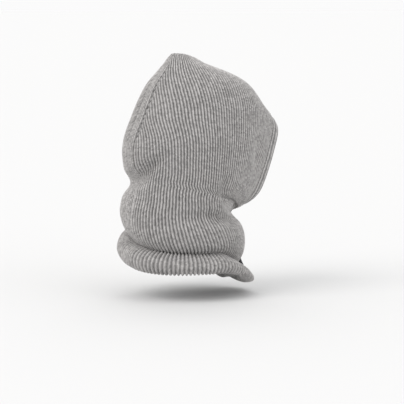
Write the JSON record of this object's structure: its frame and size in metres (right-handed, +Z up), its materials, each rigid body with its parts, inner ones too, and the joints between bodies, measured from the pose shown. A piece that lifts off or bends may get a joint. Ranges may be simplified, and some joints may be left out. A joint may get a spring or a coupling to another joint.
{
  "type": "knit hood",
  "caption": "Rib-knit hood with a long neck and a rolled collar, a drawcord in a folded casing round the face opening and two knotted cord ends.",
  "frame": {"origin": "the seat under the inside of the crown where the hood is held up", "axes": "-Y out of the face opening, -X to the hood's own right, +Z up through the crown"},
  "size_m": [0.2034, 0.2525, 0.3658],
  "materials": {
    "knit": "matt",
    "cord": "matt"
  },
  "bodies": {
    "root": {"hood_body": "knit", "face_casing": "knit", "drawcord_run": "cord", "drawcord_right": "cord", "drawcord_left": "cord", "cord_knot_right": "cord", "cord_knot_left": "cord"}
  },
  "joints": []
}
